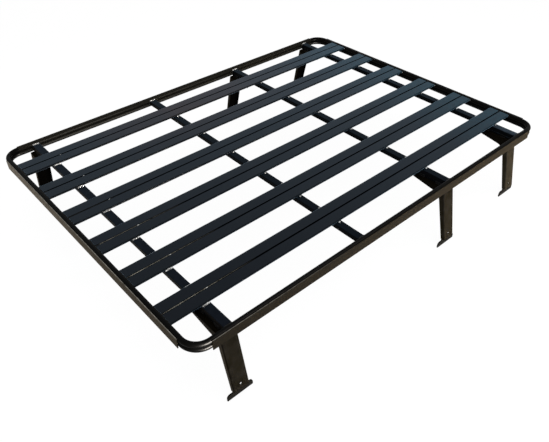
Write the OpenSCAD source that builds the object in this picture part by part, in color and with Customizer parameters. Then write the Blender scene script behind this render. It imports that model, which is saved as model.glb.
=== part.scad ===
// Flat steel roof rack that stands on six feet in the gutters of a vehicle roof.
// X runs along the slats, Y across the rack, Z up. The origin is on the floor,
// midway between the outermost front leg and the back legs.

/* [Rack] */
// Length over the side plates
rack_l = 1900; // [1700:10:2200]
// Width over the side plates
rack_w = 1400; // [1200:10:1500]
// Height from the bottom of the feet to the top of the rail
rack_h = 315; // [280:5:360]

/* [Rail] */
// Diameter of each of the two stacked rail tubes
rail_d = 20; // [16:1:24]
// Radius of each rack corner, out to the plane of the side plates
corner_r = 75; // [60:1:100]
// Width of the weld seam that joins the two rail tubes
seam_w = 4; // [3:0.5:6]
// Thickness of the side plates
plate_t = 3; // [2:0.5:5]
// Height of the side plates
plate_h = 40; // [30:1:44]
// How far the top of the side plates lies below the top of the rail
plate_drop = 2.5; // [1:0.5:6]

/* [Slats] */
// Distance between the middles of two slats
slat_pitch = 206.5; // [170:0.5:210]
// Width of one slat tube, two of which make a slat
slat_tube_w = 49; // [40:1:60]
// Thickness of the slat tubes
slat_t = 9; // [8:0.5:12]
// Corner radius of the slat tubes
slat_edge_r = 3.5; // [2:0.5:3.5]
// How far the top of the slats lies below the top of the rail
slat_drop = 1.5; // [0.5:0.5:4]
// How far a straight tube end is coped into the rail tube that it meets
cope = 1; // [0.5:0.5:3]

/* [Cross members] */
// Width of a cross member
cross_w = 32; // [25:1:40]
// Height of a cross member
cross_h = 20; // [15:1:24]
// Corner radius of the cross members
cross_edge_r = 2.5; // [2:0.5:4]
// Distance from the left end of the rack to the middle of the first cross member
cross_inset_left = 150; // [140:1:180]
// Distance from the first cross member to the second
cross_bay_left = 592; // [500:1:620]
// Distance from the last cross member to the right end of the rack
cross_inset_right = 137; // [115:1:160]

/* [Legs] */
// Width of a leg
leg_w = 65; // [55:1:75]
// Thickness of the leg sheet
leg_t = 3; // [2:0.5:4]
// Outer radius of the bends in the leg sheet
leg_bend_r = 6; // [5:0.5:8]
// How far the outer face of a leg leans out, in degrees
leg_splay = 12.3; // [8:0.1:16]
// Distance from the front side plate's outer face in to the bend of the first front leg
front_leg_1_inset = 28; // [10:1:45]
// The same distance for the second front leg
front_leg_2_inset = 20; // [10:1:45]
// The same distance for the third front leg
front_leg_3_inset = 42; // [10:1:45]
// Distance by which the second front leg stands to the right of its cross member
front_leg_2_offset = 9; // [0:1:10]
// The same distance for the third front leg
front_leg_3_offset = 3; // [0:1:10]
// Distance from the back side plate's outer face in to the bend of the back legs
back_leg_inset = 18; // [8:1:40]
// Height of the open bottom end of a leg above the bottom of its foot
leg_lift = 35; // [28:1:45]
// Length of the leg's arm under the cross member
arm_l = 148; // [120:1:180]
// Depth of the arm at its inner end
arm_end_h = 14; // [12:1:24]
// How far the lower edge of the arm slopes down towards the leg, in degrees
arm_slope = 9; // [6:0.1:14]
// Depth of the leg where the arm's lower edge meets it
leg_top_depth = 25; // [20:1:32]
// Depth of the leg at its bottom end
leg_end_depth = 16; // [14:0.5:20]
// Radius between the arm's lower edge and the leg's inner edge
knee_r = 42; // [25:1:50]
// Diameter of the fixing hole near the bottom of a leg
hole_d = 8; // [6:0.5:10]
// Distance from the middle of the fixing hole to the bottom end of the leg
hole_up = 22; // [18:1:30]

/* [Feet] */
// Length of the foot bar that grips the gutter
foot_l = 105; // [90:1:120]
// Height of the foot bar
foot_h = 25; // [20:1:27]
// Thickness of the foot
foot_t = 5; // [4:0.5:6]
// Radius of the foot bar's upper corners
foot_r = 12; // [6:1:16]
// Distance from the leg's outer face in to the foot's outer face
foot_inset = 10; // [9:0.5:11]
// How far the foot's two ears reach up between the leg's flanges
foot_ear_up = 8; // [6:1:10]
// Width of an ear
foot_ear_w = 7; // [5:1:12]

/* [Hidden] */
$fn = 64;

// Colours of the black powder coat: browner on the outer pieces, bluer on the top
coat = [0.17, 0.16, 0.15];
slat_coat = [0.16, 0.18, 0.21];

// Heights of the layers: rail tubes, slats, cross members, and packers under their ends
upper_z = rack_h - rail_d / 2;
lower_z = upper_z - rail_d;
frame_bottom = rack_h - 2 * rail_d;
slat_z = rack_h - slat_drop - slat_t / 2;
cross_z = slat_z - slat_t / 2 - cross_h / 2;
packer_h = cross_z - cross_h / 2 - frame_bottom;

// The rail tubes touch the inner faces of the side plates
rail_x = rack_l / 2 - plate_t - rail_d / 2;
rail_y = rack_w / 2 - plate_t - rail_d / 2;
straight_x = rack_l - 2 * corner_r;
straight_y = rack_w - 2 * corner_r;
bend_r = corner_r - plate_t - rail_d / 2;
seam_h = 1;

// Tube ends stop a cope past the rail tube's inner side
end_x = rail_x - rail_d / 2 + cope;
end_y = rail_y - rail_d / 2 + cope;

cross_1_x = -rack_l / 2 + cross_inset_left;
cross_2_x = cross_1_x + cross_bay_left;
cross_4_x = rack_l / 2 - cross_inset_right;
cross_3_x = (cross_2_x + cross_4_x) / 2;
front_leg_2_x = cross_3_x + front_leg_2_offset;
front_leg_3_x = cross_4_x + front_leg_3_offset;

// Side view of a leg, as distances outwards from its upper bend and heights
front_bend_y = rack_w / 2 - min(front_leg_1_inset, front_leg_2_inset, front_leg_3_inset);
back_bend_y = rack_w / 2 - back_leg_inset;
legs_middle_y = (back_bend_y - front_bend_y) / 2;
leg_out = (frame_bottom - leg_lift) * tan(leg_splay);
leg_in = leg_out - leg_end_depth;
knee_out = (arm_end_h + arm_l * tan(arm_slope)) * tan(leg_splay) - leg_top_depth;
knee_z = frame_bottom - arm_end_h - (knee_out + arm_l) * tan(arm_slope);
knee_tangent_a = 90 - arm_slope - atan((leg_in - knee_out) / (knee_z - leg_lift));
knee_reach = knee_r * tan(knee_tangent_a / 2);
knee_centre = [knee_out - knee_reach * cos(arm_slope) - knee_r * sin(arm_slope),
               knee_z + knee_reach * sin(arm_slope) - knee_r * cos(arm_slope)];
knee_steps = 8;
past = 1;

// Rectangle with rounded corners, around the origin
module rounded(w, h, r) {
    square([w - 2 * r, h], center = true);
    square([w, h - 2 * r], center = true);
    for (x = [-1, 1], y = [-1, 1])
        translate([x * (w / 2 - r), y * (h / 2 - r)]) circle(r);
}

// Two stacked straight tubes along X, joined by their weld seam
module tube_pair(length) {
    rotate([90, 0, 90]) linear_extrude(length, center = true) tube_pair_section();
}

module tube_pair_section() {
    translate([0, upper_z]) circle(d = rail_d);
    translate([0, lower_z]) circle(d = rail_d);
    translate([0, frame_bottom + rail_d]) square([seam_w, seam_h], center = true);
}

module side_rail() {
    color(coat) translate([0, -rail_y, 0]) tube_pair(straight_x);
}

// Rail at the left end, with a quarter turn of both tubes at each corner
module end_rail() {
    color(coat) {
        translate([-rail_x, 0, 0]) rotate([0, 0, 90]) tube_pair(straight_y);
        for (side = [0, 1]) mirror([0, side, 0])
            translate([-straight_x / 2, -straight_y / 2, 0]) rotate([0, 0, 180])
                rotate_extrude(angle = 90) translate([bend_r, 0]) tube_pair_section();
    }
}

module side_plate() {
    color(coat) translate([0, -rack_w / 2 + plate_t / 2, rack_h - plate_drop - plate_h / 2])
        cube([straight_x, plate_t, plate_h], center = true);
}

module end_plate() {
    color(coat) translate([-rack_l / 2 + plate_t / 2, 0, rack_h - plate_drop - plate_h / 2])
        cube([plate_t, straight_y, plate_h], center = true);
}

// Tube of a slat, with its ends coped onto the upper rail tubes
module slat_tube(y) {
    color(slat_coat) difference() {
        translate([0, y, slat_z]) rotate([90, 0, 90])
            linear_extrude(2 * end_x, center = true) rounded(slat_tube_w, slat_t, slat_edge_r);
        for (side = [-1, 1]) translate([side * rail_x, y, upper_z]) rotate([90, 0, 0])
            cylinder(d = rail_d, h = slat_tube_w + 2 * past, center = true);
    }
}

module slat_front_tube(i) {
    slat_tube((i - 3.5) * slat_pitch - slat_tube_w / 2);
}

module slat_back_tube(i) {
    slat_tube((i - 3.5) * slat_pitch + slat_tube_w / 2);
}

// Cross member, with its ends coped onto both rail tubes
module cross_member(x) {
    color(slat_coat) difference() {
        translate([x, 0, cross_z]) rotate([90, 0, 0])
            linear_extrude(2 * end_y, center = true) rounded(cross_w, cross_h, cross_edge_r);
        for (side = [-1, 1], z = [lower_z, upper_z])
            translate([x, side * rail_y, z]) rotate([0, 90, 0])
                cylinder(d = rail_d, h = cross_w + 2 * past, center = true);
    }
}

// Packer of flat tube that fills the height between a cross member and a leg's arm
module packer() {
    length = arm_l - leg_bend_r;
    color(slat_coat) translate([0, -arm_l + length / 2, frame_bottom + packer_h / 2])
        rotate([90, 0, 0]) linear_extrude(length, center = true)
            rounded(cross_w, packer_h, cross_edge_r);
}

// Outline of the leg's flanges, seen along X
function knee_arc() = [for (k = [0:knee_steps])
    let (a = 90 - arm_slope - k / knee_steps * knee_tangent_a)
    knee_centre + knee_r * [cos(a), sin(a)]];

module flange_outline() {
    polygon(concat(
        [[-arm_l, frame_bottom - arm_end_h]],
        knee_arc(),
        [[leg_in, leg_lift], [leg_out, leg_lift]],
        [for (k = [0:knee_steps])
            let (a = leg_splay + k / knee_steps * (90 - leg_splay),
                 reach = leg_bend_r * tan((90 - leg_splay) / 2))
            [-reach, frame_bottom - leg_bend_r] + leg_bend_r * [cos(a), sin(a)]],
        [[-arm_l, frame_bottom]]));
}

// Bar that fills the arm and the leg, with rounded long edges and a mitre at the bend
module folded_bar(width, radius, inset) {
    deep = leg_w;
    mitre = (90 - leg_splay) / 2;
    long = rack_h;
    translate([0, 0, frame_bottom]) {
        intersection() {
            translate([0, -long / 2, -inset - deep / 2]) rotate([90, 0, 0])
                linear_extrude(2 * long, center = true) rounded(width, deep, radius);
            rotate([mitre - 90, 0, 0]) translate([-leg_w, -2 * long, -long])
                cube([2 * leg_w, 2 * long, 2 * long]);
        }
        intersection() {
            rotate([leg_splay, 0, 0]) translate([0, -inset - deep / 2, -long / 2])
                linear_extrude(2 * long, center = true) rounded(width, deep, radius);
            rotate([mitre - 90, 0, 0]) translate([-leg_w, 0, -long])
                cube([2 * leg_w, 2 * long, 2 * long]);
        }
    }
}

// Leg folded from one sheet: a web over the arm and the leg, and a flange on each side
module leg() {
    color(coat) difference() {
        intersection() {
            rotate([90, 0, 90]) linear_extrude(leg_w, center = true) flange_outline();
            folded_bar(leg_w, leg_bend_r, 0);
        }
        folded_bar(leg_w - 2 * leg_t, leg_bend_r - leg_t, leg_t);
        translate([0, leg_out, leg_lift]) rotate([leg_splay, 0, 0]) translate([0, 0, hole_up])
            rotate([90, 0, 0]) cylinder(d = hole_d, h = 2 * leg_end_depth, center = true);
    }
}

// Foot: a bar with rounded ends under the leg, and an ear inside each of the leg's flanges
module foot() {
    ears_w = leg_w - 2 * leg_t;
    color(coat) translate([0, leg_out - foot_inset - foot_t / 2, 0]) rotate([90, 0, 0])
        linear_extrude(foot_t, center = true) {
            translate([-foot_l / 2, 0]) square([foot_l, foot_h - foot_r]);
            translate([-foot_l / 2 + foot_r, 0]) square([foot_l - 2 * foot_r, foot_h]);
            for (side = [-1, 1]) {
                translate([side * (foot_l / 2 - foot_r), foot_h - foot_r]) circle(foot_r);
                translate([side * (ears_w - foot_ear_w) / 2 - foot_ear_w / 2, 0])
                    square([foot_ear_w, leg_lift + foot_ear_up]);
            }
        }
}

// Puts a packer, a leg or a foot at the leg's bend, facing the front or the back
module at_front(x, inset) {
    translate([x, inset - rack_w / 2, 0]) mirror([0, 1, 0]) children();
}

module at_back(x) {
    translate([x, back_bend_y, 0]) children();
}

// Moves a piece from the middle of the rack to the middle between the legs
module placed() {
    translate([0, -legs_middle_y, 0]) children();
}

placed() side_rail();  // front_rail
placed() mirror([0, 1, 0]) side_rail();  // back_rail
placed() end_rail();  // left_rail
placed() mirror([1, 0, 0]) end_rail();  // right_rail
placed() side_plate();  // front_side_plate
placed() mirror([0, 1, 0]) side_plate();  // back_side_plate
placed() end_plate();  // left_side_plate
placed() mirror([1, 0, 0]) end_plate();  // right_side_plate
placed() slat_front_tube(1);  // slat_1_front_tube
placed() slat_back_tube(1);  // slat_1_back_tube
placed() slat_front_tube(2);  // slat_2_front_tube
placed() slat_back_tube(2);  // slat_2_back_tube
placed() slat_front_tube(3);  // slat_3_front_tube
placed() slat_back_tube(3);  // slat_3_back_tube
placed() slat_front_tube(4);  // slat_4_front_tube
placed() slat_back_tube(4);  // slat_4_back_tube
placed() slat_front_tube(5);  // slat_5_front_tube
placed() slat_back_tube(5);  // slat_5_back_tube
placed() slat_front_tube(6);  // slat_6_front_tube
placed() slat_back_tube(6);  // slat_6_back_tube
placed() cross_member(cross_1_x);  // cross_member_1
placed() cross_member(cross_2_x);  // cross_member_2
placed() cross_member(cross_3_x);  // cross_member_3
placed() cross_member(cross_4_x);  // cross_member_4
placed() at_front(cross_1_x, front_leg_1_inset) packer();  // front_packer_1
placed() at_front(cross_3_x, front_leg_2_inset) packer();  // front_packer_2
placed() at_front(cross_4_x, front_leg_3_inset) packer();  // front_packer_3
placed() at_back(cross_1_x) packer();  // back_packer_1
placed() at_back(cross_3_x) packer();  // back_packer_2
placed() at_back(cross_4_x) packer();  // back_packer_3
placed() at_front(cross_1_x, front_leg_1_inset) leg();  // front_leg_1
placed() at_front(front_leg_2_x, front_leg_2_inset) leg();  // front_leg_2
placed() at_front(front_leg_3_x, front_leg_3_inset) leg();  // front_leg_3
placed() at_back(cross_1_x) leg();  // back_leg_1
placed() at_back(cross_3_x) leg();  // back_leg_2
placed() at_back(cross_4_x) leg();  // back_leg_3
placed() at_front(cross_1_x, front_leg_1_inset) foot();  // front_foot_1
placed() at_front(front_leg_2_x, front_leg_2_inset) foot();  // front_foot_2
placed() at_front(front_leg_3_x, front_leg_3_inset) foot();  // front_foot_3
placed() at_back(cross_1_x) foot();  // back_foot_1
placed() at_back(cross_3_x) foot();  // back_foot_2
placed() at_back(cross_4_x) foot();  // back_foot_3
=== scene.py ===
import math
import random

import bmesh
import bpy
from mathutils import Matrix, Vector


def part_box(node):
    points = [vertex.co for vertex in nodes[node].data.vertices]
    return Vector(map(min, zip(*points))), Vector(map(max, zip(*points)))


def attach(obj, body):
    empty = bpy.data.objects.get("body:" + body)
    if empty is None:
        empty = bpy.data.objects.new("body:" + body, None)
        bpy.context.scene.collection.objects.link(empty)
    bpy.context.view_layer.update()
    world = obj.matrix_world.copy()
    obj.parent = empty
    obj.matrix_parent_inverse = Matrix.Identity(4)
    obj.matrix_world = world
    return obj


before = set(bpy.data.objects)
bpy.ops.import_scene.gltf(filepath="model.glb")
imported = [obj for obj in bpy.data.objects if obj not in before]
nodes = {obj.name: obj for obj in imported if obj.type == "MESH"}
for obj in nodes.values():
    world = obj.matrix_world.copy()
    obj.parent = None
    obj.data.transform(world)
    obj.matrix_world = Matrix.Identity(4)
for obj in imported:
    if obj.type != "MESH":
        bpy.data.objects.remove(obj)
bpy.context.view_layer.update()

scene = bpy.context.scene
mm = 0.001

# The view: a wide lens from above the left end, looking across the rack
# towards its far right corner.
CAMERA_PLACE = (-1.4314, -1.6089, 1.6366)
CAMERA_TURN = (50.219, 0.350, -41.593)
CAMERA_LENS = 37.611
SENSOR_WIDTH = 36.0

camera = bpy.data.objects.new("camera", bpy.data.cameras.new("camera"))
camera.location = CAMERA_PLACE
camera.rotation_euler = [math.radians(angle) for angle in CAMERA_TURN]
camera.data.lens = CAMERA_LENS
camera.data.sensor_width = SENSOR_WIDTH
scene.collection.objects.link(camera)
scene.camera = camera

# Rails: two 20 mm steel tubes, one on top of the other, welded along the crease between
# them and bent round the four corners. Like all the steel they are powder coated black,
# with a pale painted top light, patchy and speckled, on the faces that lie open to the sky.
# The back rail is duller than the others and has the fine orange peel of the flat bars, where
# the others are smooth. Its coat is painted a lighter brown, as a painted reflection of a brown floor.
RAIL_BLACK = (0.0020, 0.0017, 0.0014)
RAIL_TOP_LIGHT = (0.0014, 0.0016, 0.0018)
BACK_RAIL_PAINTED_BROWN = (0.0125, 0.0112, 0.0085)
FACING_UP = (1.6, -0.5)
PATCH_SCALE = 7.0
SPECK_SCALE = 260.0
PATCHY_TOP_LIGHT = (0.8, 0.25)
SPECKLED_TOP_LIGHT = (0.9, 0.4)
TOUCH_SCALE = 22.0
TOUCH_ROUGHNESS = 0.16
PEEL_SCALE = 420.0
PEEL_HEIGHT = 0.02 * mm
PEEL_STRENGTH = 0.6
DUST_ROUGHNESS = 0.35
FINE_DETAIL = 2.0


def group_socket(group, name, in_out, kind, default=None):
    socket = group.interface.new_socket(name=name, in_out=in_out, socket_type=kind)
    if default is not None:
        socket.default_value = default


def feed(tree, socket, value):
    """Link the socket to another one, or set it to a number or a colour."""
    if isinstance(value, bpy.types.NodeSocket):
        tree.links.new(value, socket)
    elif isinstance(value, tuple):
        socket.default_value = (*value, 1.0)
    else:
        socket.default_value = value


def math_node(tree, operation, *values):
    node = tree.nodes.new("ShaderNodeMath")
    node.operation = operation
    for socket, value in zip(node.inputs, values):
        feed(tree, socket, value)
    return node.outputs[0]


def ramp(tree, value, slope, start):
    """Slope times the value plus start, kept between 0 and 1."""
    sloped = math_node(tree, "MULTIPLY_ADD", value, slope, start)
    sloped.node.use_clamp = True
    return sloped


def mix_colours(tree, amount, first, second):
    node = tree.nodes.new("ShaderNodeMix")
    node.data_type = "RGBA"
    feed(tree, node.inputs["Factor"], amount)
    feed(tree, node.inputs[6], first)
    feed(tree, node.inputs[7], second)
    return node.outputs[2]


def noise(tree, position, scale, detail=3.0):
    node = tree.nodes.new("ShaderNodeTexNoise")
    feed(tree, node.inputs["Scale"], scale)
    feed(tree, node.inputs["Detail"], detail)
    feed(tree, node.inputs["Vector"], position)
    return node.outputs["Fac"]


def object_position(tree):
    return tree.nodes.new("ShaderNodeTexCoord").outputs["Object"]


def split_axes(tree, vector):
    node = tree.nodes.new("ShaderNodeSeparateXYZ")
    feed(tree, node.inputs[0], vector)
    return node.outputs


def facing_up(tree):
    normal = tree.nodes.new("ShaderNodeNewGeometry").outputs["Normal"]
    return ramp(tree, split_axes(tree, normal)["Z"], *FACING_UP)


def add_bumps(tree, height, distance, strength=1.0):
    node = tree.nodes.new("ShaderNodeBump")
    feed(tree, node.inputs["Strength"], strength)
    feed(tree, node.inputs["Distance"], distance)
    feed(tree, node.inputs["Height"], height)
    return node.outputs["Normal"]


def make_powder_coat_group():
    group = bpy.data.node_groups.new("powder_coat", "ShaderNodeTree")
    group_socket(group, "Coat", "INPUT", "NodeSocketColor")
    group_socket(group, "Painted top light", "INPUT", "NodeSocketColor")
    group_socket(group, "Peel height", "INPUT", "NodeSocketFloat", PEEL_HEIGHT)
    group_socket(group, "Least roughness", "INPUT", "NodeSocketFloat", 0.3)
    group_socket(group, "Color", "OUTPUT", "NodeSocketColor")
    group_socket(group, "Roughness", "OUTPUT", "NodeSocketFloat")
    group_socket(group, "Normal", "OUTPUT", "NodeSocketVector")
    given = group.nodes.new("NodeGroupInput").outputs
    out = group.nodes.new("NodeGroupOutput").inputs
    position = object_position(group)

    # Painted top light: faces that turn up are mixed towards the paler colour, in patches and specks.
    patchy = ramp(group, noise(group, position, PATCH_SCALE), *PATCHY_TOP_LIGHT)
    specks = ramp(group, noise(group, position, SPECK_SCALE, FINE_DETAIL), *SPECKLED_TOP_LIGHT)
    painted_top_light = math_node(group, "MULTIPLY", facing_up(group), patchy)
    painted_top_light = math_node(group, "MULTIPLY", painted_top_light, specks)
    feed(group, out["Color"], mix_colours(group, painted_top_light, given["Coat"], given["Painted top light"]))

    touched = math_node(group, "MULTIPLY", noise(group, position, TOUCH_SCALE), TOUCH_ROUGHNESS)
    feed(group, out["Roughness"], math_node(group, "ADD", given["Least roughness"], touched))
    peel = noise(group, position, PEEL_SCALE, FINE_DETAIL)
    feed(group, out["Normal"], add_bumps(group, peel, given["Peel height"], PEEL_STRENGTH))
    return group


powder_coat_group = make_powder_coat_group()


def powder_coat(name, coat, painted_top_light, roughness, gloss, dust=0.0, sheen_tint=(1.0, 1.0, 1.0),
                peel_height=PEEL_HEIGHT):
    """Black coat with painted top light on its up-facing faces, and a dust sheen at a low angle whose tint
    is a painted reflection.
    """
    material = bpy.data.materials.new(name)
    material.use_nodes = True
    tree = material.node_tree
    shader = tree.nodes["Principled BSDF"].inputs
    feed(tree, shader["Specular IOR Level"], gloss)
    feed(tree, shader["Sheen Weight"], dust)
    feed(tree, shader["Sheen Tint"], sheen_tint)
    feed(tree, shader["Sheen Roughness"], DUST_ROUGHNESS)
    effect = tree.nodes.new("ShaderNodeGroup")
    effect.node_tree = powder_coat_group
    feed(tree, effect.inputs["Coat"], coat)
    feed(tree, effect.inputs["Painted top light"], painted_top_light)
    feed(tree, effect.inputs["Peel height"], peel_height)
    feed(tree, effect.inputs["Least roughness"], roughness)
    feed(tree, shader["Base Color"], effect.outputs["Color"])
    feed(tree, shader["Roughness"], effect.outputs["Roughness"])
    feed(tree, shader["Normal"], effect.outputs["Normal"])
    return material


def paint(names, material):
    for name in names:
        nodes[name].data.materials.clear()
        nodes[name].data.materials.append(material)


rail_coat = powder_coat("rail_coat", RAIL_BLACK, RAIL_TOP_LIGHT, roughness=0.31, gloss=0.022, peel_height=0.0)
# Painted reflection: the back rail's coat is a lighter brown than that of the other rails.
back_rail_coat = powder_coat("back_rail_coat", BACK_RAIL_PAINTED_BROWN, BACK_RAIL_PAINTED_BROWN, roughness=0.42, gloss=0.008)
paint(["front_rail", "left_rail", "right_rail"], rail_coat)
paint(["back_rail"], back_rail_coat)

# Side plates: four lengths of 40 x 3 mm flat bar, one along each side, laid against the
# rail tubes and held by short stitches of weld along their lower edge. Their narrow top edges
# carry a grainy painted highlight towards the left end, and the left plate is painted paler
# towards the back, as painted light.
PLATE_BLACK = (0.0056, 0.0045, 0.0023)
PLATE_TOP_LIGHT = (0.0240, 0.0200, 0.0140)
LEFT_PLATE_BACK_LIGHT = (0.1900, 0.1650, 0.1350)
EDGE_PAINTED_HIGHLIGHT = (0.1600, 0.1480, 0.1270)
# Painted reflection: the warm tint of the dust sheen stands for warm surroundings seen at a low angle.
DUST_SHEEN_SURROUND_WARM = (1.0, 0.72, 0.40)
SEAM_BLACK = (0.0060, 0.0055, 0.0050)
SEAM_TOP_LIGHT = (0.0200, 0.0200, 0.0200)
SEAM_PEEL = 0.05 * mm
TOP_FACE = 0.6
DUST_AND_LIGHT_GRAIN = 60.0
DUST_AND_LIGHT_COVER = -0.4
DUST_AND_LIGHT_CONTRAST = 2.4
STITCH_LENGTH = 30 * mm
STITCH_SPACING = 200 * mm
STITCH_RADIUS = 2.2 * mm
STITCH_RISE = 1.2 * mm
RIPPLE_PITCH = 2.6 * mm
RIPPLE_OVERLAP = 0.8
SMALLEST_RIPPLE = 0.86


def make_road_dust_group():
    group = bpy.data.node_groups.new("dust_and_painted_light", "ShaderNodeTree")
    group_socket(group, "Coat", "INPUT", "NodeSocketColor")
    group_socket(group, "Dust and light", "INPUT", "NodeSocketColor")
    group_socket(group, "Grain", "INPUT", "NodeSocketFloat", DUST_AND_LIGHT_GRAIN)
    group_socket(group, "Cover", "INPUT", "NodeSocketFloat", DUST_AND_LIGHT_COVER)
    for axis in "XY":
        group_socket(group, f"{axis} slope", "INPUT", "NodeSocketFloat", 0.0)
        group_socket(group, f"{axis} start", "INPUT", "NodeSocketFloat", 1.0)
    group_socket(group, "Color", "OUTPUT", "NodeSocketColor")
    given = group.nodes.new("NodeGroupInput").outputs
    out = group.nodes.new("NodeGroupOutput").inputs
    position = object_position(group)
    amount = ramp(group, noise(group, position, given["Grain"]), DUST_AND_LIGHT_CONTRAST, given["Cover"])
    for axis in "XY":
        place = split_axes(group, position)[axis]
        stronger = ramp(group, place, given[f"{axis} slope"], given[f"{axis} start"])
        amount = math_node(group, "MULTIPLY", amount, stronger)
    feed(group, out["Color"], mix_colours(group, amount, given["Coat"], given["Dust and light"]))
    return group


dust_and_light_group = make_road_dust_group()


def add_dust_and_light(material, colour, slopes, grain=DUST_AND_LIGHT_GRAIN, cover=DUST_AND_LIGHT_COVER):
    """Grainy patches over the coat, used for dust and for painted light, thicker along each axis given with
    its slope and start.
    """
    tree = material.node_tree
    coat = tree.nodes["Principled BSDF"].inputs["Base Color"]
    effect = tree.nodes.new("ShaderNodeGroup")
    effect.node_tree = dust_and_light_group
    feed(tree, effect.inputs["Coat"], coat.links[0].from_socket)
    feed(tree, effect.inputs["Dust and light"], colour)
    feed(tree, effect.inputs["Grain"], grain)
    feed(tree, effect.inputs["Cover"], cover)
    for axis, (slope, start) in slopes.items():
        feed(tree, effect.inputs[f"{axis} slope"], slope)
        feed(tree, effect.inputs[f"{axis} start"], start)
    feed(tree, coat, effect.outputs["Color"])


plate_names = ["front_side_plate", "back_side_plate", "left_side_plate", "right_side_plate"]
plate_coat = powder_coat("plate_coat", PLATE_BLACK, PLATE_TOP_LIGHT, roughness=0.30, gloss=0.006,
                         dust=0.19, sheen_tint=DUST_SHEEN_SURROUND_WARM)
left_plate_coat = powder_coat("left_plate_coat", PLATE_BLACK, PLATE_TOP_LIGHT, roughness=0.30, gloss=0.005,
                              dust=0.15, sheen_tint=DUST_SHEEN_SURROUND_WARM)
edge_coat = powder_coat("plate_edge_coat", PLATE_BLACK, PLATE_TOP_LIGHT, roughness=0.30, gloss=0.006)
seam_coat = powder_coat("seam_coat", SEAM_BLACK, SEAM_TOP_LIGHT, roughness=0.3, gloss=0.02,
                        peel_height=SEAM_PEEL)
# Painted light: the left plate turns grainy and paler towards the back.
add_dust_and_light(left_plate_coat, LEFT_PLATE_BACK_LIGHT, {"Y": (1.0, 0.12)})
# Painted highlight: the plates' top edges are grainy and paler, fading out towards the right.
add_dust_and_light(edge_coat, EDGE_PAINTED_HIGHLIGHT, {"X": (-1.4, -0.3)})
paint(plate_names, plate_coat)
paint(["left_side_plate"], left_plate_coat)
for name in plate_names:
    bar = nodes[name].data
    bar.materials.append(edge_coat)
    for face in bar.polygons:
        if face.normal.z > TOP_FACE:
            face.material_index = 1

weld_random = random.Random(11)


def lay_bead(beads, start, end, radius):
    """Row of overlapping ripples from start to end, as a welder leaves it."""
    start, end = Vector(start), Vector(end)
    run = end - start
    ripples = max(1, round(run.length / RIPPLE_PITCH))
    turn = run.to_track_quat("Z", "Y").to_matrix().to_4x4()
    for i in range(ripples):
        place = start + run * ((i + 0.5) / ripples)
        size = radius * weld_random.uniform(SMALLEST_RIPPLE, 1.0)
        long = max(size, run.length / ripples * RIPPLE_OVERLAP)
        bmesh.ops.create_icosphere(
            beads, subdivisions=2, radius=1.0,
            matrix=Matrix.Translation(place) @ turn @ Matrix.Diagonal((size, size, long, 1.0)))


def finish_piece(name, mesh_maker, material):
    mesh = bpy.data.meshes.new(name)
    mesh_maker.to_mesh(mesh)
    mesh_maker.free()
    for face in mesh.polygons:
        face.use_smooth = True
    mesh.materials.append(material)
    piece = bpy.data.objects.new(name, mesh)
    scene.collection.objects.link(piece)
    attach(piece, "root")


stitches = bmesh.new()
stitch_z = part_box("front_rail")[0].z + STITCH_RISE
for name in plate_names:
    low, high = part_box(name)
    along_x = high.x - low.x > high.y - low.y
    length = (high.x - low.x) if along_x else (high.y - low.y)
    count = int(length // STITCH_SPACING)
    for i in range(count):
        middle = (i + 0.5) / count * length
        if along_x:
            y = low.y - STITCH_RADIUS if low.y > 0 else high.y + STITCH_RADIUS
            ends = [(low.x + middle + side * STITCH_LENGTH / 2, y, stitch_z) for side in (-1, 1)]
        else:
            x = low.x - STITCH_RADIUS if low.x > 0 else high.x + STITCH_RADIUS
            ends = [(x, low.y + middle + side * STITCH_LENGTH / 2, stitch_z) for side in (-1, 1)]
        lay_bead(stitches, *ends, STITCH_RADIUS)
finish_piece("plate_stitches", stitches, seam_coat)

# Slats: six, each of two flat tubes laid edge to edge, so that a fine groove runs down the
# middle. Their tops turn a patchy warm brown towards the back and the middle of the length,
# and their right ends are painted paler and bluer, as painted light.
SLAT_BLACK = (0.0032, 0.0038, 0.0052)
SLAT_TOP_LIGHT = (0.0055, 0.0062, 0.0080)
SLAT_RIGHT_END_LIGHT = (0.0040, 0.0260, 0.0380)
SLAT_WARM_TINT = (0.0280, 0.0140, 0.0095)
# Painted reflection: the blue tint of the dust sheen stands for the sky seen at a low angle.
DUST_SHEEN_SKY_BLUE = (0.50, 0.75, 1.0)
TINT_TO_BACK = (2.6, -0.5)
TINT_MIDDLE_X = -0.05
TINT_OFF_MIDDLE = (-1.9, 1.25)
TINT_PATCHES = (0.9, 0.3)


def add_warm_tint(material, colour):
    """Patchy warm tint on the tops, towards the back and the middle of the rack's length."""
    tree = material.node_tree
    coat = tree.nodes["Principled BSDF"].inputs["Base Color"]
    position = object_position(tree)
    place = split_axes(tree, position)
    off_middle = math_node(tree, "ABSOLUTE", math_node(tree, "SUBTRACT", place["X"], TINT_MIDDLE_X))
    amount = math_node(tree, "MULTIPLY", facing_up(tree), ramp(tree, off_middle, *TINT_OFF_MIDDLE))
    patchy = ramp(tree, noise(tree, position, PATCH_SCALE), *TINT_PATCHES)
    amount = math_node(tree, "MULTIPLY", amount, patchy)
    amount = math_node(tree, "MULTIPLY", amount, ramp(tree, place["Y"], *TINT_TO_BACK))
    feed(tree, coat, mix_colours(tree, amount, coat.links[0].from_socket, colour))


slat_numbers = range(1, 7)
slat_names = [f"slat_{i}_{half}_tube" for i in slat_numbers for half in ("front", "back")]
slat_coat = powder_coat("slat_coat", SLAT_BLACK, SLAT_TOP_LIGHT, roughness=0.34, gloss=0.03,
                        dust=1.0, sheen_tint=DUST_SHEEN_SKY_BLUE)
add_warm_tint(slat_coat, SLAT_WARM_TINT)
# Painted light: the slats turn grainy, paler and bluer towards the right end.
add_dust_and_light(slat_coat, SLAT_RIGHT_END_LIGHT, {"X": (2.0, -1.05)})
paint(slat_names, slat_coat)

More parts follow.
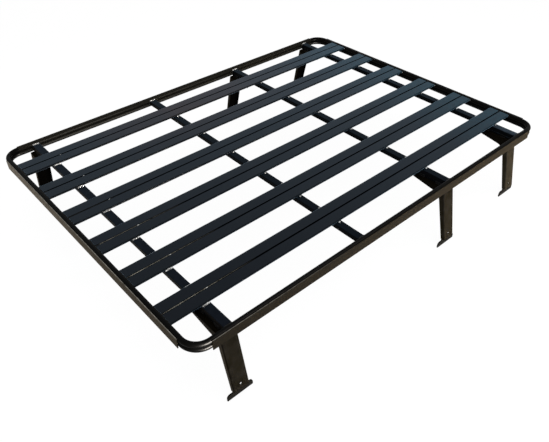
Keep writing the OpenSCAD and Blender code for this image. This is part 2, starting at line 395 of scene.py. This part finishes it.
# Grooves: the faces in between the two tubes of a slat are painted near black, with hardly
# any gloss and no sheen, as painted shade in the crease. The back lip of the grooves near the
# front left corner carries a grainy, pale painted highlight.
GROOVE_SHADE = (0.0002, 0.0003, 0.0004)
GROOVE_REACH = 3.6 * mm
LIP_REACH = 1.5 * mm
LIP_HIGHLIGHT = (0.2600, 0.2400, 0.2000)

groove_shade_coat = powder_coat("groove_shade_coat", GROOVE_SHADE, GROOVE_SHADE, roughness=0.30, gloss=0.001)
lip_highlight_coat = powder_coat("lip_highlight_coat", GROOVE_SHADE, GROOVE_SHADE, roughness=0.30, gloss=0.001)
# Painted highlight: the back lip of the grooves turns grainy and pale near the front left corner.
add_dust_and_light(lip_highlight_coat, LIP_HIGHLIGHT, {"X": (-2.8, -1.55), "Y": (-2.6, 0.35)})
# Faces near each groove take the painted shade, and those on the back lip the painted highlight.
for name in slat_names:
    tube = nodes[name].data
    tube.materials.append(groove_shade_coat)
    tube.materials.append(lip_highlight_coat)
    low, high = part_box(name)
    at_back = "back" in name
    groove_y = low.y if at_back else high.y
    for face in tube.polygons:
        into_tube = face.center.y - groove_y
        if abs(into_tube) < GROOVE_REACH and face.center.z > (low.z + high.z) / 2:
            face.material_index = 2 if at_back and into_tube < LIP_REACH else 1

# Slat ends: each slat is welded to the upper rail tube, and its groove is filled with weld
# for a thumb's width there. Small tacks hold its corners at the right end, and one more lies
# in the groove beside the first cross member. The tacks carry painted glints.
WELD_BLACK = (0.0900, 0.0850, 0.0800)
GLINT_WHITE = (0.6600, 0.6500, 0.6200)
GLINT_SCALE = 150.0
GLINT_CRESTS = (5.0, -2.05)
GLINT_ROUGHNESS = (0.12, 0.22)
SPATTER_SCALE = 700.0
SPATTER_HEIGHT = 0.08 * mm
END_WELD_RADIUS = 2.3 * mm
END_WELD_OUT = 1.2 * mm
END_WELD_DROP = 2.6 * mm
END_WELD_MARGIN = 2 * mm
GROOVE_FILL = 14 * mm
GROOVE_FILL_DROP = 2.2 * mm
CORNER_TACK_RADIUS = 1.7 * mm
CORNER_TACK_INSET = 2 * mm
CORNER_TACK_LENGTH = 3 * mm
CORNER_TACK_DROP = 5 * mm
GROOVE_TACK_RADIUS = 2.2 * mm
GROOVE_TACK_PLACE = 21 * mm
GROOVE_TACK_LENGTH = 6 * mm
GROOVE_TACK_DROP = 2 * mm


def make_glinting_weld():
    """Black weld with painted glints, near white, on the crests of a noise."""
    material = bpy.data.materials.new("bright_weld")
    material.use_nodes = True
    tree = material.node_tree
    shader = tree.nodes["Principled BSDF"].inputs
    position = object_position(tree)
    # Painted glints: near white and smoother where the noise is high.
    glints = ramp(tree, noise(tree, position, GLINT_SCALE), *GLINT_CRESTS)
    feed(tree, shader["Base Color"], mix_colours(tree, glints, WELD_BLACK, GLINT_WHITE))
    feed(tree, shader["Roughness"], ramp(tree, glints, *GLINT_ROUGHNESS))
    spatter = noise(tree, position, SPATTER_SCALE, FINE_DETAIL)
    feed(tree, shader["Normal"], add_bumps(tree, spatter, SPATTER_HEIGHT))
    return material


bright_weld = make_glinting_weld()
slat_low, slat_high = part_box("slat_1_front_tube")
slat_width = 2 * (slat_high.y - slat_low.y)
slat_end, slat_top = slat_high.x, slat_high.z
groove_tack_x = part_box("cross_member_1")[1].x + GROOVE_TACK_PLACE

end_welds = bmesh.new()
tacks = bmesh.new()
for i in slat_numbers:
    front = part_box(f"slat_{i}_front_tube")[0].y
    back = front + slat_width
    middle = (front + back) / 2
    for side in (-1, 1):
        x = side * (slat_end + END_WELD_OUT)
        z = slat_top - END_WELD_DROP
        lay_bead(end_welds, (x, front + END_WELD_MARGIN, z), (x, back - END_WELD_MARGIN, z), END_WELD_RADIUS)
        inner = side * (slat_end - GROOVE_FILL)
        z = slat_top - GROOVE_FILL_DROP
        lay_bead(end_welds, (inner, middle, z), (x, middle, z), END_WELD_RADIUS)
    x = slat_end - CORNER_TACK_INSET
    z = slat_top - CORNER_TACK_DROP
    for corner in (front, back):
        lay_bead(tacks, (x, corner, z), (x + CORNER_TACK_LENGTH, corner, z), CORNER_TACK_RADIUS)
    x = groove_tack_x
    z = slat_top - GROOVE_TACK_DROP
    lay_bead(tacks, (x, middle, z), (x + GROOVE_TACK_LENGTH, middle, z), GROOVE_TACK_RADIUS)
finish_piece("slat_end_welds", end_welds, seam_coat)
finish_piece("slat_tacks", tacks, bright_weld)

# Cross members: four lengths of 32 x 20 mm tube under the slats, cut square between the
# rails. Below the ends of three of them, packers of the same width fill the height down to
# the arms of the legs. The dust sheen lies on their tops only. The tops turn grainy, paler
# and bluer towards the left end, most on the first one, and painted light lies on them at the
# front right corner.
CROSS_BLACK = (0.0012, 0.0017, 0.0024)
CROSS_TOP_LIGHT = (0.0040, 0.0056, 0.0082)
CROSS_LEFT_TINT = (0.0058, 0.0072, 0.0105)
CORNER_PAINTED_LIGHT = (0.0350, 0.0470, 0.0620)

cross_names = [f"cross_member_{i}" for i in range(1, 5)]
packer_names = [f"{side}_packer_{i}" for side in ("front", "back") for i in range(1, 4)]
cross_coat = powder_coat("cross_coat", CROSS_BLACK, CROSS_TOP_LIGHT, roughness=0.34, gloss=0.006,
                         dust=0.34, sheen_tint=DUST_SHEEN_SKY_BLUE)
side_coat = powder_coat("cross_side_coat", CROSS_BLACK, CROSS_BLACK, roughness=0.34, gloss=0.008,
                        dust=0.03, sheen_tint=DUST_SHEEN_SURROUND_WARM)
add_dust_and_light(cross_coat, CROSS_LEFT_TINT, {"X": (-3.0, -1.6)})
# Painted light: the tops turn grainy, paler and bluer at the front right corner.
add_dust_and_light(cross_coat, CORNER_PAINTED_LIGHT, {"X": (9.0, -6.5), "Y": (-4.0, -1.6)})
paint(cross_names + packer_names, cross_coat)
for name in cross_names + packer_names:
    bar = nodes[name].data
    bar.materials.append(side_coat)
    for face in bar.polygons:
        if face.normal.z < TOP_FACE:
            face.material_index = 1

# Welds of the cross members: the slats are welded across the first one in full and tacked
# to the others, with painted glints. Each member is welded to both rail tubes, with painted
# glints on top at the back end, and the packers are welded to the members and the arms along
# their edges.
SLAT_WELD_RADIUS = 4 * mm
SLAT_WELD_RISE = 0.8 * mm
FULL_WELD_OUT = 1.6 * mm
FULL_WELD_MARGIN = 4 * mm
TACK_OUT = 4 * mm
TACK_FROM_EDGE = 14 * mm
TACK_LENGTH = 4 * mm
TOP_WELD_RADIUS = 3.6 * mm
TOP_WELD_INSET = 1.5 * mm
TOP_WELD_RISE = 1.2 * mm
TOP_WELD_MARGIN = 3 * mm
SIDE_WELD_RADIUS = 2.8 * mm
SIDE_WELD_OUT = 0.8 * mm
SIDE_WELD_FOOT = 2 * mm
SIDE_WELD_HEAD = 1 * mm
PACKER_WELD_RADIUS = 2 * mm
PACKER_WELD_OUT = 0.6 * mm
PACKER_WELD_RISE = 1.2 * mm
PACKER_WELD_LENGTH = 24 * mm
PACKER_WELD_SHARES = (0.2, 0.75)

slat_welds = bmesh.new()
end_tops = bmesh.new()
seams = bmesh.new()
for name in cross_names:
    low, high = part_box(name)
    welded_in_full = name == cross_names[0]
    z = high.z + SLAT_WELD_RISE
    for i in slat_numbers:
        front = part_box(f"slat_{i}_front_tube")[0].y
        for y, out in ((front, -1), (front + slat_width, 1)):
            if welded_in_full:
                y += out * FULL_WELD_OUT
                from_x, to_x = low.x + FULL_WELD_MARGIN, high.x - FULL_WELD_MARGIN
            else:
                y += out * TACK_OUT
                from_x = high.x - TACK_FROM_EDGE
                to_x = from_x + TACK_LENGTH
            lay_bead(slat_welds, (from_x, y, z), (to_x, y, z), SLAT_WELD_RADIUS)
    z = high.z + TOP_WELD_RISE
    for end_y, out, beads in ((low.y, -1, seams), (high.y, 1, end_tops)):
        y = end_y - out * TOP_WELD_INSET
        lay_bead(beads, (low.x + TOP_WELD_MARGIN, y, z), (high.x - TOP_WELD_MARGIN, y, z), TOP_WELD_RADIUS)
        for x in (low.x - SIDE_WELD_OUT, high.x + SIDE_WELD_OUT):
            lay_bead(seams, (x, end_y, low.z + SIDE_WELD_FOOT), (x, end_y, high.z - SIDE_WELD_HEAD),
                     SIDE_WELD_RADIUS)
finish_piece("slat_welds", slat_welds, bright_weld)
finish_piece("cross_member_welds", end_tops, bright_weld)

for name in packer_names:
    low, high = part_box(name)
    for x in (low.x - PACKER_WELD_OUT, high.x + PACKER_WELD_OUT):
        for share in PACKER_WELD_SHARES:
            middle = low.y + share * (high.y - low.y)
            from_y, to_y = middle - PACKER_WELD_LENGTH / 2, middle + PACKER_WELD_LENGTH / 2
            for z in (low.z + PACKER_WELD_RISE, high.z):
                lay_bead(seams, (x, from_y, z), (x, to_y, z), PACKER_WELD_RADIUS)
finish_piece("cross_member_seams", seams, seam_coat)

# Legs: six, each folded from one piece of 3 mm sheet into a channel that runs out under the
# cross member and turns down and outwards, with an 8 mm hole near its foot. Their faces are
# faintly smudged, and the front leg near the right end is painted grainy and paler, as painted
# light.
LEG_BLACK = (0.0086, 0.0068, 0.0030)
LEG_TOP_LIGHT = (0.0150, 0.0130, 0.0085)
LEG_RIGHT_FRONT_LIGHT = (0.0320, 0.0260, 0.0170)
LEG_SMUDGE = (0.0200, 0.0172, 0.0140)
# Painted reflection: the warm tint of the legs' dust sheen stands for warm surroundings.
LEG_DUST_SHEEN_SURROUND_WARM = (1.0, 0.80, 0.56)

leg_names = [f"{side}_leg_{i}" for side in ("front", "back") for i in range(1, 4)]
leg_coat = powder_coat("leg_coat", LEG_BLACK, LEG_TOP_LIGHT, roughness=0.20, gloss=0.0026,
                       dust=0.22, sheen_tint=LEG_DUST_SHEEN_SURROUND_WARM)
add_dust_and_light(leg_coat, LEG_SMUDGE, {}, grain=30.0, cover=-0.95)
# Painted light: the front leg near the right end turns grainy and paler.
add_dust_and_light(leg_coat, LEG_RIGHT_FRONT_LIGHT, {"X": (0.9, -0.35), "Y": (-2.0, -0.3)})
paint(leg_names, leg_coat)

# The inside of each leg's channel faces the middle of the rack and is painted a deeper,
# browner black than the outside, as painted shade. The arms under the deck are painted nearly
# as dark, as painted shade.
CHANNEL_SHADE = (0.0012, 0.0008, 0.0006)
ARM_SHADE = (0.0030, 0.0024, 0.0014)
ARM_BOTTOM = 245 * mm
LEG_SHEET = 3 * mm
FACING_IN = -0.3
FACING_OUT = 0.5
FACING_ALONG = 0.6

channel_shade_coat = powder_coat("channel_shade_coat", CHANNEL_SHADE, CHANNEL_SHADE, roughness=0.34, gloss=0.0015)
arm_shade_coat = powder_coat("arm_shade_coat", ARM_SHADE, ARM_SHADE, roughness=0.30, gloss=0.0026,
                       dust=0.09, sheen_tint=LEG_DUST_SHEEN_SURROUND_WARM)
# Faces inside the channel take its painted shade, and the arms' faces the arms' painted shade.
for name in leg_names:
    leg = nodes[name].data
    leg.materials.append(channel_shade_coat)
    leg.materials.append(arm_shade_coat)
    low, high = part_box(name)
    middle_x = (low.x + high.x) / 2
    mid_wall = (high.x - low.x) / 2 - LEG_SHEET / 2
    outwards = 1 if name.startswith("back") else -1
    for face in leg.polygons:
        facing = face.normal.y * outwards
        inner_wall = abs(face.normal.x) > FACING_ALONG and abs(face.center.x - middle_x) < mid_wall
        if facing < FACING_IN or inner_wall:
            face.material_index = 1
        elif facing < FACING_OUT and face.center.z > ARM_BOTTOM:
            face.material_index = 2

# Feet: each is 5 mm plate, a bar with rounded upper corners that sits in the gutter, and two
# ears that stand inside the leg's flanges and are welded to them.
FOOT_BLACK = (0.0062, 0.0052, 0.0032)
FOOT_TOP_LIGHT = (0.0110, 0.0100, 0.0075)
EAR_WELD_RADIUS = 1.8 * mm
EAR_WELD_LENGTH = 7 * mm
EAR_WELD_IN = 1.2 * mm

foot_names = [f"{side}_foot_{i}" for side in ("front", "back") for i in range(1, 4)]
foot_coat = powder_coat("foot_coat", FOOT_BLACK, FOOT_TOP_LIGHT, roughness=0.34, gloss=0.009)
paint(foot_names, foot_coat)

foot_seams = bmesh.new()
leg_low, leg_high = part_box("front_leg_1")
ear_x = (leg_high.x - leg_low.x) / 2 - LEG_SHEET - EAR_WELD_IN
for name in foot_names:
    low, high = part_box(name)
    middle_x = (low.x + high.x) / 2
    for x in (middle_x - ear_x, middle_x + ear_x):
        for y in (low.y, high.y):
            lay_bead(foot_seams, (x, y, high.z - EAR_WELD_LENGTH), (x, y, high.z), EAR_WELD_RADIUS)
finish_piece("foot_seams", foot_seams, seam_coat)

# Floor and surround: a pale floor that keeps a soft shadow and a white world. Both look white
# to the camera, also in shiny steel, and throw less light than that on the rack.
FLOOR_SIZE = 14.0
FLOOR_SHADOW = 0.08
FLOOR_PAINT = (0.90, 0.90, 0.90)
FLOOR_WHITE = 1.03
WORLD_WHITE = (1.0, 1.0, 1.0)
WORLD_LIGHT = (0.45, 0.55)


def seen_directly(tree):
    """1 where the camera looks, also by way of gloss or glass, and 0 where light is thrown."""
    rays = tree.nodes.new("ShaderNodeLightPath").outputs
    seen = math_node(tree, "MAXIMUM", rays["Is Camera Ray"], rays["Is Glossy Ray"])
    return math_node(tree, "MAXIMUM", seen, rays["Is Transmission Ray"])


floor_mesh = bmesh.new()
bmesh.ops.create_grid(floor_mesh, x_segments=1, y_segments=1, size=FLOOR_SIZE)
floor_data = bpy.data.meshes.new("floor")
floor_mesh.to_mesh(floor_data)
floor_mesh.free()
floor = bpy.data.objects.new("floor", floor_data)
scene.collection.objects.link(floor)

floor_material = bpy.data.materials.new("floor")
floor_material.use_nodes = True
tree = floor_material.node_tree
painted = tree.nodes["Principled BSDF"]
feed(tree, painted.inputs["Base Color"], FLOOR_PAINT)
feed(tree, painted.inputs["Roughness"], 0.9)
feed(tree, painted.inputs["Specular IOR Level"], 0.0)
white = tree.nodes.new("ShaderNodeEmission")
feed(tree, white.inputs["Strength"], FLOOR_WHITE)
blend = tree.nodes.new("ShaderNodeMixShader")
feed(tree, blend.inputs["Fac"], math_node(tree, "MULTIPLY", seen_directly(tree), 1.0 - FLOOR_SHADOW))
feed(tree, blend.inputs[1], painted.outputs["BSDF"])
feed(tree, blend.inputs[2], white.outputs["Emission"])
feed(tree, tree.nodes["Material Output"].inputs["Surface"], blend.outputs["Shader"])
floor_data.materials.append(floor_material)

scene.world = bpy.data.worlds.new("world")
scene.world.use_nodes = True
tree = scene.world.node_tree
surround = tree.nodes["Background"].inputs
feed(tree, surround["Color"], WORLD_WHITE)
feed(tree, surround["Strength"], ramp(tree, seen_directly(tree), *WORLD_LIGHT))


# Lamps: a broad soft sky above and two low windows in front, one long, which draws the
# streaks on the bends, and one small and warm. Both windows stay below the deck, so that the
# slats don't mirror them.
def lamp(name, place, target, size, watts, colour, lights_coat=True, shines=True):
    light = bpy.data.lights.new(name, "AREA")
    light.shape = "RECTANGLE"
    light.size, light.size_y = size
    light.energy = watts
    light.color = colour
    holder = bpy.data.objects.new(name, light)
    holder.location = place
    holder.rotation_euler = (Vector(target) - Vector(place)).to_track_quat("-Z", "Y").to_euler()
    holder.visible_diffuse = lights_coat
    holder.visible_glossy = shines
    scene.collection.objects.link(holder)


lamp("soft_sky", place=(-0.4, -0.8, 3.4), target=(0, 0, 0.2), size=(3.0, 3.0),
     watts=75.0, colour=(0.95, 0.98, 1.0), shines=False)
lamp("front_window", place=(-0.1, -3.1, 0.20), target=(-0.4, -0.65, 0.26), size=(3.0, 0.18),
     watts=6600.0, colour=(1.0, 0.93, 0.84), lights_coat=False)
lamp("warm_window", place=(2.0, -2.0, 0.16), target=(0.8, -0.75, 0.16), size=(1.0, 0.2),
     watts=60.0, colour=(1.0, 0.90, 0.76), shines=False)

scene.view_settings.view_transform = "Standard"
